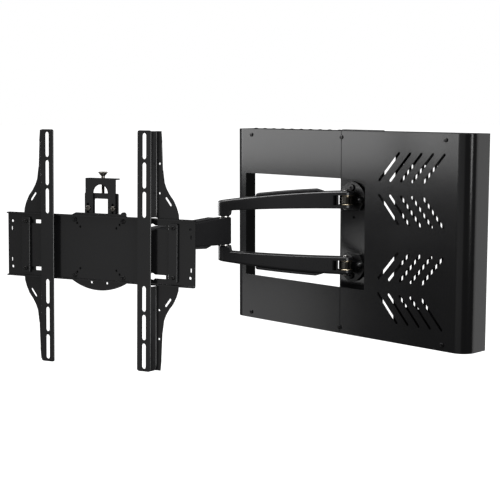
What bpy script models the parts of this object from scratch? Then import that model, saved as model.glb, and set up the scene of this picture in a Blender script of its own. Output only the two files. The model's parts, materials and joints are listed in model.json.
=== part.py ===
"""Full motion TV wall mount with a shallow equipment box behind it.

The box hangs on a wall plate. Two arms reach out of its window from a pair of wall knuckles, a
forearm carries the swivel yoke, and a tilting, height-adjustable head holds the TV plate with its
two sliding brackets. Metres, +Z up, -Y out of the wall, origin on the wall behind the column.
"""

import math

import bmesh
import bpy
from mathutils import Matrix, Vector

MM = 0.001
GAP = 0.3 * MM  # clearance where two pieces meet
FOLD_INSET = 0.2 * MM  # a folded flange starts this far inside its blank
SEGMENTS = 24  # sides of a round piece

# Equipment box
BOX_WIDTH = 601.5 * MM
BOX_HEIGHT = 400 * MM
BOX_DEPTH = 62.6 * MM
BOX_CORNER = 28 * MM
COVER_WALL = 1.5 * MM
COVER_SEAM = 1.2 * MM
WINDOW_LEFT = 265 * MM
WINDOW_RIGHT = 61 * MM
WINDOW_HEIGHT = 215 * MM
COVER_SCREW_INSET = 52.5 * MM
COVER_SCREW_DROP = 12 * MM
VENT_PITCH = 26 * MM
VENT_COLUMNS = 5
VENT_LEFT = 96 * MM
VENT_RUN = 46 * MM
VENT_RISE = 52 * MM
VENT_WIDTH = 5.4 * MM
VENT_OUTER_Z = 109 * MM
VENT_INNER_Z = 80 * MM
TOP_SLOTS = 10
TOP_SLOT_PITCH = 26 * MM
TOP_SLOT_LENGTH = 16 * MM
TOP_SLOT_WIDTH = 3 * MM

# Wall structure
WALL_PLATE_WIDTH = 111 * MM
WALL_PLATE_RISE = 1.5 * MM  # how far it stands above the box
WALL_PLATE_THICK = 3 * MM
COLUMN_WIDTH = 70 * MM
COLUMN_DEPTH = 22.6 * MM
COLUMN_WALL = 2.5 * MM
RAIL_DEPTH_LIP = 17 * MM
RAIL_WALL = 1.8 * MM
BAY_LEFT = 97 * MM
BAY_RIGHT = 288 * MM
BAY_STAND_OFF = 16 * MM
BAY_SLOT_HALF = 137 * MM
BAY_SLOT_PITCH = 10 * MM
BAY_SLOT_WIDTH = 4.4 * MM

# Arm linkage
PIVOT_STAND_OFF = 24.1 * MM  # wall pivot axis in front of the column
ARM_LENGTH = 243.5 * MM
ARM_ANGLE = math.radians(216.5)
ARM_ELBOW_HALF = 13.5 * MM
ARM_WALL_HALF = 14 * MM
ARM_ELBOW_TOP = 60 * MM
ARM_TOP_RISE = 23 * MM
ARM_ELBOW_UNDER = 39.6 * MM
ARM_UNDER_RISE = 8.6 * MM
CLEVIS_LOW = 54.5 * MM
CLEVIS_HIGH = 74.5 * MM
CLEVIS_REACH = 15.8 * MM
CLEVIS_RIM = 1.8 * MM  # between the fork and the blind recess beside it
RECESS_WIDTH = 7.7 * MM
RECESS_DEEP = 12 * MM  # its floor slopes up from this depth
RECESS_SHALLOW = 4 * MM
KNUCKLE_RADIUS = 13 * MM
WASHER_THICK = 2 * MM
ELBOW_WASHER = 2.6 * MM
ELBOW_WASHER_RADIUS = 9.5 * MM
WALL_PIN_RADIUS = 5 * MM
ELBOW_PIN_RADIUS = 6 * MM
PIN_PLAY = 0.3 * MM
KNUCKLE_BOLT_Z = 88 * MM
FOREARM_LENGTH = 268 * MM
FOREARM_ANGLE = math.radians(272.9)
FOREARM_HALF = 13.5 * MM
FOREARM_ELBOW_Z = 27 * MM
FOREARM_HEAD_Z = 20.2 * MM
CABLE_COVER_RISE = 5.6 * MM
SLIM_COVER_RISE = 2.4 * MM
CABLE_COVER_HALF = 11.5 * MM

# Head
HEAD_YAW = math.radians(20.3)
HEAD_TILT = math.radians(-1.5)
YOKE_LUG_RADIUS = 14 * MM
YOKE_LUG_THICK = 6 * MM
SWIVEL_TO_TILT = 40 * MM
TILT_TO_PLATE = 50 * MM
TILT_BARREL_RADIUS = 12 * MM
TILT_BARREL_HALF = 18 * MM
EAR_WALL = 3 * MM
LIFT_REST = -3.5 * MM
HEAD_SHEET = 2.4 * MM
UPRIGHT_HALF = 34.7 * MM
HANGER_HALF = 31 * MM
HANGER_TOP = 124.5 * MM
ARCH_RADIUS = 15.4 * MM
LOCK_SCREW_X = 25.5 * MM
LOCK_SCREW_Z = 71 * MM
THUMB_SCREW_Y = 16 * MM
CROSSBAR_TOP = 97 * MM
ROLL_PLATE_HALF = 57 * MM
ROLL_PLATE_TOP = 62.5 * MM
ROLL_PLATE_BOTTOM = 75.5 * MM
ROLL_PLATE_ARC = 108 * MM

# TV plate and brackets
PLATE_WIDTH = 387.6 * MM
PLATE_HEIGHT = 117.2 * MM
PLATE_LIP = 5 * MM  # folded forward along the top and bottom
PLATE_SHEET = 2.3 * MM
VESA_PLATE = 100 * MM
KEYHOLE_Z = 43 * MM
KEYHOLE_INNER = 110 * MM
KEYHOLE_OUTER = 159 * MM
KEYHOLE_HEIGHT = 6.7 * MM
BRACKET_HEIGHT = 420 * MM
BRACKET_SLOT_X = 100 * MM
BRACKET_FACE = 27 * MM
BRACKET_PROUD = 12.2 * MM
BRACKET_SHEET = 2.2 * MM
WEB_SPLAY = 3 * MM  # how far the web leans out towards its ear
TV_SLOT_LENGTH = 45 * MM
TV_SLOT_WIDTH = 8 * MM
TV_SLOT_PITCH = 50.5 * MM
TV_SLOT_FIRST = 82 * MM
CLAMP_X = 152.5 * MM
CLAMP_WIDTH = 17 * MM
CLAMP_HEIGHT = 102 * MM
CLAMP_THICK = 4.2 * MM

# Places that follow from the sizes
BOX_BACK = -WALL_PLATE_THICK - GAP
BOX_FRONT = BOX_BACK - BOX_DEPTH
COLUMN_FRONT = BOX_BACK - COLUMN_DEPTH
PIVOT_Y = COLUMN_FRONT - PIVOT_STAND_OFF
COVER_SCREW_X = BOX_WIDTH / 2 - COVER_SCREW_INSET
COVER_SCREW_Z = BOX_HEIGHT / 2 - COVER_SCREW_DROP
RAIL_TOP = BOX_HEIGHT / 2 - COVER_WALL - GAP
RAIL_FOOT = RAIL_TOP - RAIL_DEPTH_LIP
ROLL_PLATE_NEAR = PLATE_SHEET + GAP
HANGER_NEAR = ROLL_PLATE_NEAR + HEAD_SHEET + 1.7 * MM
UPRIGHT_NEAR = HANGER_NEAR + HEAD_SHEET + 1.0 * MM
BRACKET_BACK = PLATE_SHEET + GAP + BRACKET_SHEET
SCREW_HEAD_GAP = GAP

for old in list(bpy.data.objects):
    bpy.data.objects.remove(old)
mount = bpy.data.collections.new("tv_wall_mount")
tools = bpy.data.collections.new("construction")
tools.hide_render = True
bpy.context.scene.collection.children.link(mount)
bpy.context.scene.collection.children.link(tools)


def finish(name, colour, roughness, metallic):
    """A Principled material."""
    made = bpy.data.materials.new(name)
    made.use_nodes = True
    shader = made.node_tree.nodes["Principled BSDF"]
    shader.inputs["Base Color"].default_value = (*colour, 1)
    shader.inputs["Roughness"].default_value = roughness
    shader.inputs["Metallic"].default_value = metallic
    return made


BLACK_SHEET = finish("black powder coat", (0.022, 0.022, 0.024), 0.42, 0.0)
BLACK_CASTING = finish("black painted casting", (0.014, 0.014, 0.015), 0.36, 0.0)
BLACK_TRIM = finish("black plastic", (0.02, 0.02, 0.021), 0.5, 0.0)
DARK_SCREW = finish("blackened screw", (0.03, 0.03, 0.032), 0.35, 0.6)
STEEL = finish("bright steel", (0.55, 0.54, 0.52), 0.28, 1.0)
BRONZE = finish("bronze washer", (0.45, 0.36, 0.24), 0.35, 1.0)


def frame_empty(name, parent, place, turn):
    """An empty that carries the pieces of one moving body, on its joint axis."""
    made = bpy.data.objects.new(name, None)
    made.parent = parent
    made.location = place
    made.rotation_euler = turn
    made.empty_display_size = 0.03
    mount.objects.link(made)
    return made


ARM = frame_empty("arm_axis", None, (0, PIVOT_Y, 0), (0, 0, ARM_ANGLE))
FOREARM = frame_empty("forearm_axis", ARM, (ARM_LENGTH, 0, 0), (0, 0, FOREARM_ANGLE - ARM_ANGLE))
YOKE = frame_empty("yoke_axis", FOREARM, (FOREARM_LENGTH, 0, 0), (0, 0, HEAD_YAW - FOREARM_ANGLE))
TILT = frame_empty("tilt_axis", YOKE, (0, -SWIVEL_TO_TILT, 0), (HEAD_TILT, 0, 0))
UPRIGHT = frame_empty("upright_frame", TILT, (0, -TILT_TO_PLATE, LIFT_REST), (0, 0, 0))
LIFT = frame_empty("lift_frame", UPRIGHT, (0, 0, 0), (0, 0, 0))
ROLL = frame_empty("roll_axis", LIFT, (0, 0, 0), (0, 0, 0))


def place_mesh(name, mesh, frame, material):
    """Put a mesh in its frame: as a piece with a material, or as a tool without one."""
    made = bpy.data.objects.new(name, mesh)
    made.parent = frame
    if material is None:
        made.hide_render = True
        made.display_type = "WIRE"
        tools.objects.link(made)
    else:
        mesh.materials.append(material)
        mesh.shade_smooth()
        mesh.set_sharp_from_angle(angle=math.radians(35))
        mount.objects.link(made)
    return made


def block(name, low, high, frame=None, material=None):
    """A box from its lowest to its highest corner."""
    low, high = Vector(low), Vector(high)
    size = high - low
    shape = bmesh.new()
    bmesh.ops.create_cube(shape, size=1)
    scale = Matrix.Diagonal((*size, 1))
    bmesh.ops.transform(shape, matrix=Matrix.Translation((low + high) / 2) @ scale, verts=shape.verts)
    mesh = bpy.data.meshes.new(name)
    shape.to_mesh(mesh)
    shape.free()
    return place_mesh(name, mesh, frame, material)


def rod(name, start, end, radius, frame=None, material=None, sides=SEGMENTS):
    """A solid cylinder between two points."""
    start, end = Vector(start), Vector(end)
    along = end - start
    shape = bmesh.new()
    bmesh.ops.create_cone(
        shape, cap_ends=True, segments=sides, radius1=radius, radius2=radius, depth=along.length
    )
    turn = Vector((0, 0, 1)).rotation_difference(along).to_matrix().to_4x4()
    bmesh.ops.transform(shape, matrix=Matrix.Translation((start + end) / 2) @ turn, verts=shape.verts)
    mesh = bpy.data.meshes.new(name)
    shape.to_mesh(mesh)
    shape.free()
    return place_mesh(name, mesh, frame, material)


FACING = {
    "front": Matrix(((1, 0, 0), (0, 0, 1), (0, 1, 0))),  # outline in X and Z, thick along Y
    "top": Matrix(((1, 0, 0), (0, 1, 0), (0, 0, 1))),  # outline in X and Y, thick along Z
    "side": Matrix(((0, 0, 1), (1, 0, 0), (0, 1, 0))),  # outline in Y and Z, thick along X
}


def sheet(name, loops, near, far, facing="front", frame=None, material=None):
    """A flat blank from closed outlines, the inner ones being holes, between two planes."""
    curve = bpy.data.curves.new(name, "CURVE")
    curve.dimensions = "2D"
    curve.fill_mode = "BOTH"
    curve.extrude = abs(far - near) / 2
    for loop in loops:
        spline = curve.splines.new("POLY")
        spline.points.add(len(loop) - 1)
        for point, (a, b) in zip(spline.points, loop):
            point.co = (a, b, 0, 1)
        spline.use_cyclic_u = True
    flat = bpy.data.objects.new(name, curve)
    bpy.context.scene.collection.objects.link(flat)
    bpy.context.view_layer.update()
    graph = bpy.context.evaluated_depsgraph_get()
    mesh = bpy.data.meshes.new_from_object(flat.evaluated_get(graph))
    bpy.data.objects.remove(flat)
    shape = bmesh.new()
    shape.from_mesh(mesh)
    bmesh.ops.remove_doubles(shape, verts=shape.verts, dist=1e-6)
    turn = FACING[facing].to_4x4()
    across = {"front": (0, 1, 0), "top": (0, 0, 1), "side": (1, 0, 0)}[facing]
    shift = Matrix.Translation(Vector(across) * (near + far) / 2)
    bmesh.ops.transform(shape, matrix=shift @ turn, verts=shape.verts)
    bmesh.ops.recalc_face_normals(shape, faces=shape.faces)
    shape.to_mesh(mesh)
    shape.free()
    mesh.materials.clear()
    return place_mesh(name, mesh, frame, material)


def turned(name, profile, at, axis, frame=None, material=None, sides=16):
    """A turned piece: (radius, height) points down its outer side, spun about an axis."""
    mesh = bpy.data.meshes.new(name)
    points = [(r, 0, z) for r, z in profile]
    mesh.from_pydata(points, [(i, i + 1) for i in range(len(points) - 1)], [])
    made = place_mesh(name, mesh, frame, material)
    made.location = at
    made.rotation_mode = "QUATERNION"
    made.rotation_quaternion = Vector((0, 0, 1)).rotation_difference(Vector(axis))
    spin = made.modifiers.new("turn", "SCREW")
    spin.steps = sides
    spin.render_steps = sides
    spin.use_merge_vertices = True
    spin.merge_threshold = 0.00001
    return made


def shaped(piece, tool, operation):
    """Cut, join or intersect a piece with a tool."""
    change = piece.modifiers.new(tool.name, "BOOLEAN")
    change.operation = operation
    change.solver = "EXACT"
    change.object = tool
    return piece


def cut(piece, *cutters):
    for cutter in cutters:
        shaped(piece, cutter, "DIFFERENCE")
    return piece


def fuse(piece, *others):
    for other in others:
        shaped(piece, other, "UNION")
    return piece


def arc(centre, radius, start, end, steps):
    """Points along an arc, angles in degrees."""
    angles = [math.radians(start + (end - start) * i / steps) for i in range(steps + 1)]
    return [(centre[0] + radius * math.cos(t), centre[1] + radius * math.sin(t)) for t in angles]


def circle(centre, radius, sides=12):
    return arc(centre, radius, 0, 360, sides)[:-1]


def rectangle(low, high, corner=0.0, steps=3):
    """A rectangle with round corners."""
    (x0, z0), (x1, z1) = low, high
    if corner <= 0:
        return [(x0, z0), (x1, z0), (x1, z1), (x0, z1)]
    return (
        arc((x1 - corner, z0 + corner), corner, -90, 0, steps)
        + arc((x1 - corner, z1 - corner), corner, 0, 90, steps)
        + arc((x0 + corner, z1 - corner), corner, 90, 180, steps)
        + arc((x0 + corner, z0 + corner), corner, 180, 270, steps)
    )


def slot(start, end, width, steps=4):
    """A slot with round ends, between the centres of its ends."""
    angle = math.degrees(math.atan2(end[1] - start[1], end[0] - start[0]))
    return arc(end, width / 2, angle - 90, angle + 90, steps) + arc(
        start, width / 2, angle + 90, angle + 270, steps
    )


def pan_screw(name, at, head_radius, head, shank_radius, shank, frame, axis=(0, -1, 0), material=DARK_SCREW):
    """A pan-head screw, placed by the underside of its head, its head facing along axis."""
    profile = [
        (0, head),
        (head_radius * 0.55, head),
        (head_radius * 0.9, head * 0.72),
        (head_radius, head * 0.3),
        (head_radius, 0),
        (shank_radius, 0),
        (shank_radius, -shank),
        (0, -shank),
    ]
    return turned(name, profile, at, axis, frame, material)


def mirrored(loop):
    return [(-x, z) for x, z in reversed(loop)]


# ---- Wall structure ----------------------------------------------------------------------------

plate_top = BOX_HEIGHT / 2 + WALL_PLATE_RISE
lag_x = WALL_PLATE_WIDTH / 2 - 10 * MM
lag_slots = [
    slot((side * lag_x, z - 5 * MM), (side * lag_x, z + 5 * MM), 9 * MM)
    for side in (-1, 1)
    for z in (-150 * MM, -50 * MM, 50 * MM, 150 * MM)
]
outline = rectangle((-WALL_PLATE_WIDTH / 2, -plate_top), (WALL_PLATE_WIDTH / 2, plate_top), 4 * MM)
sheet("wall_plate", [outline] + lag_slots, -WALL_PLATE_THICK, 0, material=BLACK_SHEET)

half = COLUMN_WIDTH / 2
inner = half - COLUMN_WALL
column_half_height = RAIL_FOOT - GAP
channel = [
    (-half, BOX_BACK),
    (-half, COLUMN_FRONT + COLUMN_WALL),
    (-inner, COLUMN_FRONT),
    (inner, COLUMN_FRONT),
    (half, COLUMN_FRONT + COLUMN_WALL),
    (half, BOX_BACK),
    (inner, BOX_BACK),
    (inner, COLUMN_FRONT + COLUMN_WALL),
    (-inner, COLUMN_FRONT + COLUMN_WALL),
    (-inner, BOX_BACK),
]
column = sheet(
    "wall_column", [channel], -column_half_height, column_half_height, "top", material=BLACK_SHEET
)
knuckle_bolt_radius = 3.5 * MM
column_holes = [circle((0, side * KNUCKLE_BOLT_Z), knuckle_bolt_radius + PIN_PLAY) for side in (-1, 1)]
column_holes.append(circle((0, 28 * MM), 2.5 * MM))
cut(column, sheet("column_holes", column_holes, COLUMN_FRONT - MM, COLUMN_FRONT + 2 * COLUMN_WALL))

rail_front = BOX_FRONT + COVER_WALL + GAP
rail_half = BOX_WIDTH / 2 - BOX_CORNER - 2 * MM
cover_screw_radius = 2 * MM
screw_places = [(x, z) for x in (-COVER_SCREW_X, 0, COVER_SCREW_X) for z in (-COVER_SCREW_Z, COVER_SCREW_Z)]
screw_holes = [circle(place, cover_screw_radius + PIN_PLAY) for place in screw_places]
for name, side in (("bottom_rail", -1), ("top_rail", 1)):
    section = [
        (rail_front, side * RAIL_FOOT),
        (rail_front, side * RAIL_TOP),
        (BOX_BACK, side * RAIL_TOP),
        (BOX_BACK, side * RAIL_FOOT),
        (BOX_BACK - RAIL_WALL, side * RAIL_FOOT),
        (BOX_BACK - RAIL_WALL, side * (RAIL_TOP - RAIL_WALL)),
        (rail_front + RAIL_WALL, side * (RAIL_TOP - RAIL_WALL)),
        (rail_front + RAIL_WALL, side * RAIL_FOOT),
    ]
    rail = sheet(name, [section], -rail_half, rail_half, "side", material=BLACK_SHEET)
    cut(rail, sheet(name + "_holes", screw_holes, rail_front - MM, rail_front + 2 * RAIL_WALL))

bay_near = BOX_BACK - BAY_STAND_OFF
slot_count = int((BAY_RIGHT - BAY_LEFT - 2 * BAY_SLOT_PITCH) / BAY_SLOT_PITCH) + 1
slot_start = (BAY_LEFT + BAY_RIGHT - (slot_count - 1) * BAY_SLOT_PITCH) / 2
bay_slots = [
    slot(
        (slot_start + i * BAY_SLOT_PITCH, -BAY_SLOT_HALF),
        (slot_start + i * BAY_SLOT_PITCH, BAY_SLOT_HALF),
        BAY_SLOT_WIDTH,
        2,
    )
    for i in range(slot_count)
]
bay_z = RAIL_FOOT - GAP
bay = block(
    "bay_back_panel",
    (BAY_LEFT, bay_near, -bay_z),
    (BAY_RIGHT, bay_near + COVER_WALL, bay_z),
    material=BLACK_SHEET,
)
for i, x in enumerate((BAY_LEFT + FOLD_INSET, BAY_RIGHT - COVER_WALL - FOLD_INSET)):
    low = (x, bay_near + FOLD_INSET, FOLD_INSET - bay_z)
    fuse(bay, block(f"bay_flange_{i}", low, (x + COVER_WALL, BOX_BACK - GAP, bay_z - FOLD_INSET)))
cut(bay, sheet("bay_slot_tool", bay_slots, bay_near - MM, bay_near + 2 * COVER_WALL))


# ---- Covers ------------------------------------------------------------------------------------


def cover(name, side):
    """One half of the box: front, round corner, side, top and bottom, open at the back and the seam."""
    outer_x = BOX_WIDTH / 2
    wall = COVER_WALL
    shell = [(COVER_SEAM / 2, BOX_BACK), (COVER_SEAM / 2, BOX_FRONT)]
    shell += arc((outer_x - BOX_CORNER, BOX_FRONT + BOX_CORNER), BOX_CORNER, -90, 0, 8)
    shell += [(outer_x, BOX_BACK)]
    hollow = [(-10 * MM, 10 * MM), (-10 * MM, BOX_FRONT + wall)]
    hollow += arc((outer_x - BOX_CORNER, BOX_FRONT + BOX_CORNER), BOX_CORNER - wall, -90, 0, 8)
    hollow += [(outer_x - wall, 10 * MM)]
    if side < 0:
        shell, hollow = mirrored(shell), mirrored(hollow)
    half_height = BOX_HEIGHT / 2
    made = sheet(name, [shell], -half_height, half_height, "top", material=BLACK_SHEET)
    inside = half_height - wall
    cut(made, sheet(name + "_hollow", [hollow], -inside, inside, "top"))
    window = rectangle((-WINDOW_LEFT, -WINDOW_HEIGHT / 2), (WINDOW_RIGHT, WINDOW_HEIGHT / 2), 2 * MM)
    through = (BOX_FRONT - 5 * MM, BOX_FRONT + 5 * MM)
    cut(made, sheet(name + "_window", [window], *through))
    cut(made, sheet(name + "_screw_holes", screw_holes, *through))
    return made


left_cover = cover("left_cover", -1)
top_slot_y = BOX_BACK - BOX_DEPTH * 0.42
top_slots = [
    slot((x, top_slot_y - TOP_SLOT_LENGTH / 2), (x, top_slot_y + TOP_SLOT_LENGTH / 2), TOP_SLOT_WIDTH, 3)
    for x in (-36 * MM - i * TOP_SLOT_PITCH for i in range(TOP_SLOTS))
]
top_z = BOX_HEIGHT / 2
cut(left_cover, sheet("top_slot_tool", top_slots, top_z - 4 * MM, top_z + 4 * MM, "top"))

right_cover = cover("right_cover", 1)
vents = []
for column_index in range(VENT_COLUMNS):
    x = VENT_LEFT + column_index * VENT_PITCH
    for z, rise in ((VENT_OUTER_Z, VENT_RISE), (VENT_INNER_Z, -VENT_RISE)):
        for side in (-1, 1):
            vents.append(slot((x, side * z), (x + VENT_RUN, side * (z + rise)), VENT_WIDTH, 4))
cut(right_cover, sheet("vent_tool", vents, BOX_FRONT - 5 * MM, BOX_FRONT + 5 * MM))

for i, (x, z) in enumerate(screw_places):
    at = (x, BOX_FRONT - SCREW_HEAD_GAP, z)
    pan_screw(f"cover_screw_{i + 1}", at, 4 * MM, 2.2 * MM, cover_screw_radius, 6 * MM, None)


# ---- Wall knuckles, pins and washers -----------------------------------------------------------


def wall_knuckle(name, side):
    """A cast knuckle: leaf-shaped foot bolted to the column, ribs and the bored barrel."""
    foot_back = COLUMN_FRONT - GAP
    foot_front = foot_back - 6 * MM
    leaf = [(-20, 44), (20, 44), (30, 62), (32, 76), (24, 88), (12, 97), (0, 100)]
    leaf += [(-12, 97), (-24, 88), (-32, 76), (-30, 62)]
    leaf = [(x * MM, side * z * MM) for x, z in leaf]
    made = sheet(name, [leaf], foot_front, foot_back, material=BLACK_CASTING)
    low = CLEVIS_LOW + WASHER_THICK + 2 * GAP
    high = CLEVIS_HIGH - WASHER_THICK - 2 * GAP
    barrel = rod(
        name + "_barrel", (0, PIVOT_Y, side * low), (0, PIVOT_Y, side * high), KNUCKLE_RADIUS
    )
    neck_z = sorted((side * (low + MM), side * (high - MM)))
    neck = block(
        name + "_neck", (-9 * MM, PIVOT_Y + 4 * MM, neck_z[0]), (9 * MM, foot_back - MM, neck_z[1])
    )
    fuse(made, barrel, neck)
    bore = rod(name + "_bore", (0, PIVOT_Y, 0), (0, PIVOT_Y, side * 0.1), WALL_PIN_RADIUS + PIN_PLAY)
    bolt_at = (0, foot_front - 5 * MM, side * KNUCKLE_BOLT_Z), (0, foot_back + 5 * MM, side * KNUCKLE_BOLT_Z)
    cut(made, bore, rod(name + "_bolt_hole", *bolt_at, knuckle_bolt_radius + PIN_PLAY))
    head_at = (0, foot_front - SCREW_HEAD_GAP, side * KNUCKLE_BOLT_Z)
    pan_screw(name + "_bolt", head_at, 6.5 * MM, 3.4 * MM, knuckle_bolt_radius, 14 * MM, None)
    return made


def washer(name, low, high, radius, bore, frame, material, axis="z", centre=(0, 0)):
    """A flat ring about a frame's Z or Y axis."""
    facing = "top" if axis == "z" else "front"
    ring = [circle(centre, radius, SEGMENTS), circle(centre, bore, SEGMENTS)]
    return sheet(name, ring, low, high, facing, frame, material)


wall_end_top = ARM_ELBOW_TOP + ARM_TOP_RISE
for word, side in (("upper", 1), ("lower", -1)):
    wall_knuckle(f"{word}_wall_knuckle", side)
    pin_low = ARM_ELBOW_UNDER + ARM_UNDER_RISE - 3 * MM
    pin_high = wall_end_top + 1.6 * MM
    profile = [
        (0, pin_high + 1.6 * MM),
        (7 * MM, pin_high + 1.6 * MM),
        (8 * MM, pin_high + 0.6 * MM),
        (8 * MM, pin_high),
        (WALL_PIN_RADIUS, pin_high),
        (WALL_PIN_RADIUS, pin_low),
        (0, pin_low),
    ]
    turned(f"{word}_wall_pin", profile, (0, PIVOT_Y, 0), (0, 0, side), None, STEEL, SEGMENTS)
    for place, low in (("outer", CLEVIS_HIGH - GAP - WASHER_THICK), ("inner", CLEVIS_LOW + GAP)):
        ends = side * low, side * (low + WASHER_THICK)
        washer(
            f"{word}_{place}_wall_washer",
            *ends,
            KNUCKLE_RADIUS - 0.4 * MM,
            WALL_PIN_RADIUS + PIN_PLAY,
            ARM,
            BRONZE,
        )


# ---- Arms --------------------------------------------------------------------------------------


def arm_top(reach):
    """Height of an arm's outer edge, rising from the elbow and flattening towards the wall."""
    share = (reach + ARM_ELBOW_HALF) / (ARM_LENGTH + ARM_ELBOW_HALF + ARM_WALL_HALF)
    return ARM_ELBOW_TOP + ARM_TOP_RISE * (1 - (1 - share) ** 1.7)


def arm_under(reach):
    """Height of an arm's inner edge beyond the elbow boss."""
    share = (reach + ARM_ELBOW_HALF) / (ARM_LENGTH + ARM_ELBOW_HALF + ARM_WALL_HALF)
    return ARM_ELBOW_UNDER + ARM_UNDER_RISE * (1 - (1 - share) ** 2.2)


boss_foot = FOREARM_ELBOW_Z + ELBOW_WASHER + 2 * GAP
reaches = [-ARM_ELBOW_HALF + (ARM_LENGTH + ARM_ELBOW_HALF + ARM_WALL_HALF) * i / 14 for i in range(15)]
reaches[-1] = ARM_LENGTH + ARM_WALL_HALF
boss_edge = ARM_ELBOW_HALF - 1.5 * MM
side_profile = [(ARM_LENGTH - s, arm_top(s)) for s in reaches]
side_profile += [(ARM_LENGTH - s, arm_under(s)) for s in reversed(reaches) if s > boss_edge + 2 * MM]
side_profile += [
    (ARM_LENGTH - boss_edge - 1.5 * MM, arm_under(boss_edge) - MM),
    (ARM_LENGTH - boss_edge, arm_under(boss_edge) - 3 * MM),
    (ARM_LENGTH - boss_edge, boss_foot + 3 * MM),
    (ARM_LENGTH - boss_edge + 2.5 * MM, boss_foot),
    (ARM_LENGTH + ARM_ELBOW_HALF, boss_foot),
]
plan = arc((0, 0), ARM_WALL_HALF, 90, 270, 10) + arc((ARM_LENGTH, 0), ARM_ELBOW_HALF, -90, 90, 10)
cover_start = 64 * MM
cover_end = ARM_LENGTH - 43.5 * MM
cover_ramp = 15 * MM
cover_step = 2 * MM
for word, side in (("upper", 1), ("lower", -1)):
    edge = [(x, side * z) for x, z in side_profile]
    arm = sheet(f"{word}_arm", [edge], -0.02, 0.02, "front", ARM, BLACK_CASTING)
    plan_tool = sheet(f"{word}_arm_plan", [plan], side * 0.02, side * 0.1, "top", ARM)
    shaped(arm, plan_tool, "INTERSECT")
    pocket_z = sorted((side * CLEVIS_LOW, side * CLEVIS_HIGH))
    pocket = block(
        f"{word}_clevis_tool", (-0.03, -0.03, pocket_z[0]), (CLEVIS_REACH, 0.03, pocket_z[1]), ARM
    )
    recess_near = CLEVIS_REACH + CLEVIS_RIM
    recess_far = recess_near + RECESS_WIDTH
    recess_plan = [
        (recess_near, ARM_WALL_HALF - RECESS_DEEP),
        (recess_far, ARM_WALL_HALF - RECESS_SHALLOW),
        (recess_far, 0.03),
        (recess_near, 0.03),
    ]
    recess = sheet(f"{word}_recess_tool", [recess_plan], *pocket_z, "top", ARM)
    bore_radius = WALL_PIN_RADIUS + PIN_PLAY
    wall_bore = rod(f"{word}_arm_bore", (0, 0, side * 0.03), (0, 0, side * 0.1), bore_radius, ARM)
    elbow_bore = rod(
        f"{word}_elbow_bore",
        (ARM_LENGTH, 0, side * 0.02),
        (ARM_LENGTH, 0, side * 52 * MM),
        ELBOW_PIN_RADIUS + PIN_PLAY,
        ARM,
    )
    cut(arm, pocket, recess, wall_bore, elbow_bore)
    steps = 6
    stations = [cover_start + (cover_end - cover_start) * i / steps for i in range(steps + 1)]
    hump = [(ARM_LENGTH - s, arm_top(s) + GAP) for s in reversed(stations)]
    lifted = [cover_start + cover_step] + stations[1:-1] + [cover_end - cover_ramp]
    hump += [(ARM_LENGTH - s, arm_top(s) + CABLE_COVER_RISE) for s in lifted]
    hump = [(x, side * z) for x, z in hump]
    sheet(f"{word}_arm_cable_cover", [hump], -CABLE_COVER_HALF, CABLE_COVER_HALF, "front", ARM, BLACK_TRIM)

rod(
    "elbow_pin", (ARM_LENGTH, 0, -50 * MM), (ARM_LENGTH, 0, 50 * MM), ELBOW_PIN_RADIUS, ARM, STEEL
)


# ---- Forearm -----------------------------------------------------------------------------------


def forearm_edge(reach):
    """Half height of the forearm: tall at the elbow, easing down to the head."""
    share = min(max((reach - 12 * MM) / (150 * MM), 0), 1)
    ease = share * share * (3 - 2 * share)
    return FOREARM_ELBOW_Z + (FOREARM_HEAD_Z - FOREARM_ELBOW_Z) * ease


stations = [-FOREARM_HALF] + [12 * MM + 25 * MM * i for i in range(7)] + [FOREARM_LENGTH + FOREARM_HALF]
edge = [(s, forearm_edge(s)) for s in stations] + [(s, -forearm_edge(s)) for s in reversed(stations)]
forearm = sheet("forearm", [edge], -0.02, 0.02, "front", FOREARM, BLACK_CASTING)
plan = arc((FOREARM_LENGTH, 0), FOREARM_HALF, -90, 90, 10) + arc((0, 0), FOREARM_HALF, 90, 270, 10)
shaped(forearm, sheet("forearm_plan", [plan], -0.04, 0.04, "top", FOREARM), "INTERSECT")
swivel_pin_radius = 5 * MM
cut(
    forearm,
    rod("forearm_elbow_bore", (0, 0, -0.04), (0, 0, 0.04), ELBOW_PIN_RADIUS + PIN_PLAY, FOREARM),
    rod(
        "forearm_head_bore",
        (FOREARM_LENGTH, 0, -0.04),
        (FOREARM_LENGTH, 0, 0.04),
        swivel_pin_radius + PIN_PLAY,
        FOREARM,
    ),
)
for word, side in (("upper", 1), ("lower", -1)):
    low = side * (FOREARM_ELBOW_Z + GAP)
    washer(
        f"{word}_elbow_washer",
        low,
        low + side * ELBOW_WASHER,
        ELBOW_WASHER_RADIUS,
        ELBOW_PIN_RADIUS + PIN_PLAY,
        FOREARM,
        STEEL,
    )
    first, rise = (22 * MM, SLIM_COVER_RISE) if side > 0 else (48 * MM, CABLE_COVER_RISE)
    run = [first] + [62 * MM + 20 * MM * i for i in range(8)]
    hump = [(s, forearm_edge(s) + GAP) for s in run]
    hump += [(s, forearm_edge(s) + rise) for s in reversed([run[0] + cover_ramp] + run[1:-1])]
    hump = [(x, side * z) for x, z in hump]
    half = CABLE_COVER_HALF - MM
    sheet(f"forearm_{word}_cable_cover", [hump], -half, half, "front", FOREARM, BLACK_TRIM)


# ---- Swivel yoke -------------------------------------------------------------------------------

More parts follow.
